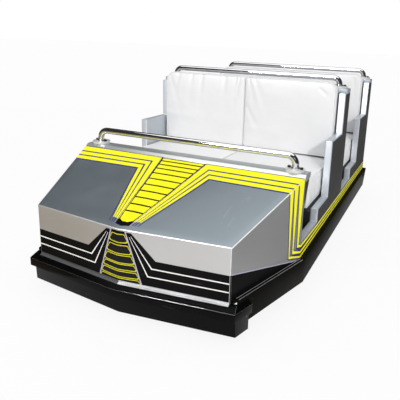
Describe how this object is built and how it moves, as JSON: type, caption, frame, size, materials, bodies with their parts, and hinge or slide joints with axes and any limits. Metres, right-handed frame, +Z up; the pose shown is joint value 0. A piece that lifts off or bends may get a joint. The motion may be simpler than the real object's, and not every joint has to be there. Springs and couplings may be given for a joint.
{
  "type": "two-row fairground ride car",
  "caption": "Wedge-nosed fairground ride car with two bench rows, grab bars, a wrap-round bumper and skirt, a steered front bogie and a rear wheel axle.",
  "frame": {"origin": "on the ground, in the middle of the overall length and width", "axes": "+Z up, the nose points to -Y, +X is the car's left side"},
  "size_m": [1.412, 2.6862, 1.071],
  "materials": {
    "silver_panel": "metallic silver-grey paint, satin",
    "hood_paint": "metallic blue-grey paint, satin",
    "bumper_black": "gloss black",
    "skirt_black": "gloss black, slightly brown",
    "board_silver": "silver paint with dark grey outer faces",
    "ledge_silver": "silver-grey paint",
    "vinyl_white": "white padded vinyl",
    "chrome": "polished tube",
    "flange_white": "silver-white paint",
    "floor_black": "black floor covering",
    "frame_steel": "black painted steel",
    "bright_steel": "machined steel",
    "wheel_hub": "cast, turned",
    "tyre": "solid rubber",
    "motor_paint": "grey enamel"
  },
  "bodies": {
    "car": {"nose_face": "silver_panel", "nose_side_left": "silver_panel", "nose_side_right": "silver_panel", "hood_panel": "hood_paint", "dash_ledge": "ledge_silver", "knee_board": "floor_black", "floor_panel": "floor_black", "side_board_left": "board_silver", "side_board_right": "board_silver", "seat_base_front": "floor_black", "back_box_front": "ledge_silver", "back_cap_front": "ledge_silver", "seat_cushion_front_left": "vinyl_white", "back_cushion_front_left": "vinyl_white", "seat_cushion_front_right": "vinyl_white", "back_cushion_front_right": "vinyl_white", "seat_base_rear": "floor_black", "back_box_rear": "ledge_silver", "back_cap_rear": "ledge_silver", "seat_cushion_rear_left": "vinyl_white", "back_cushion_rear_left": "vinyl_white", "seat_cushion_rear_right": "vinyl_white", "back_cushion_rear_right": "vinyl_white", "grab_bars": "chrome", "bar_flanges": "flange_white", "front_bumper": "bumper_black", "skirt_left": "skirt_black", "skirt_ledge_left": "skirt_black", "skirt_right": "skirt_black", "skirt_ledge_right": "skirt_black", "skirt_rear": "skirt_black", "chassis_frame": "frame_steel", "axle_bearings": "frame_steel", "drive_motor": "motor_paint"},
    "front_bogie": {"bogie_frame": "frame_steel"},
    "front_wheel_left": {"front_hub_left": "wheel_hub", "front_tyre_left": "tyre"},
    "front_wheel_right": {"front_hub_right": "wheel_hub", "front_tyre_right": "tyre"},
    "rear_axle_set": {"rear_axle": "bright_steel", "rear_tyres": "tyre"}
  },
  "joints": [
    {"name": "bogie_steer", "type": "hinge", "parent": "car", "child": "front_bogie", "pos_m": [0, -0.9079, 0.113], "axis": [0, 0, 1], "range_deg": [-40, 40]},
    {"name": "front_wheel_left_spin", "type": "hinge", "parent": "front_bogie", "child": "front_wheel_left", "pos_m": [0.2, -0.9079, 0.08], "axis": [1, 0, 0], "continuous": true},
    {"name": "front_wheel_right_spin", "type": "hinge", "parent": "front_bogie", "child": "front_wheel_right", "pos_m": [-0.2, -0.9079, 0.08], "axis": [1, 0, 0], "continuous": true},
    {"name": "rear_axle_spin", "type": "hinge", "parent": "car", "child": "rear_axle_set", "pos_m": [0, 0.8971, 0.08], "axis": [1, 0, 0], "continuous": true}
  ]
}
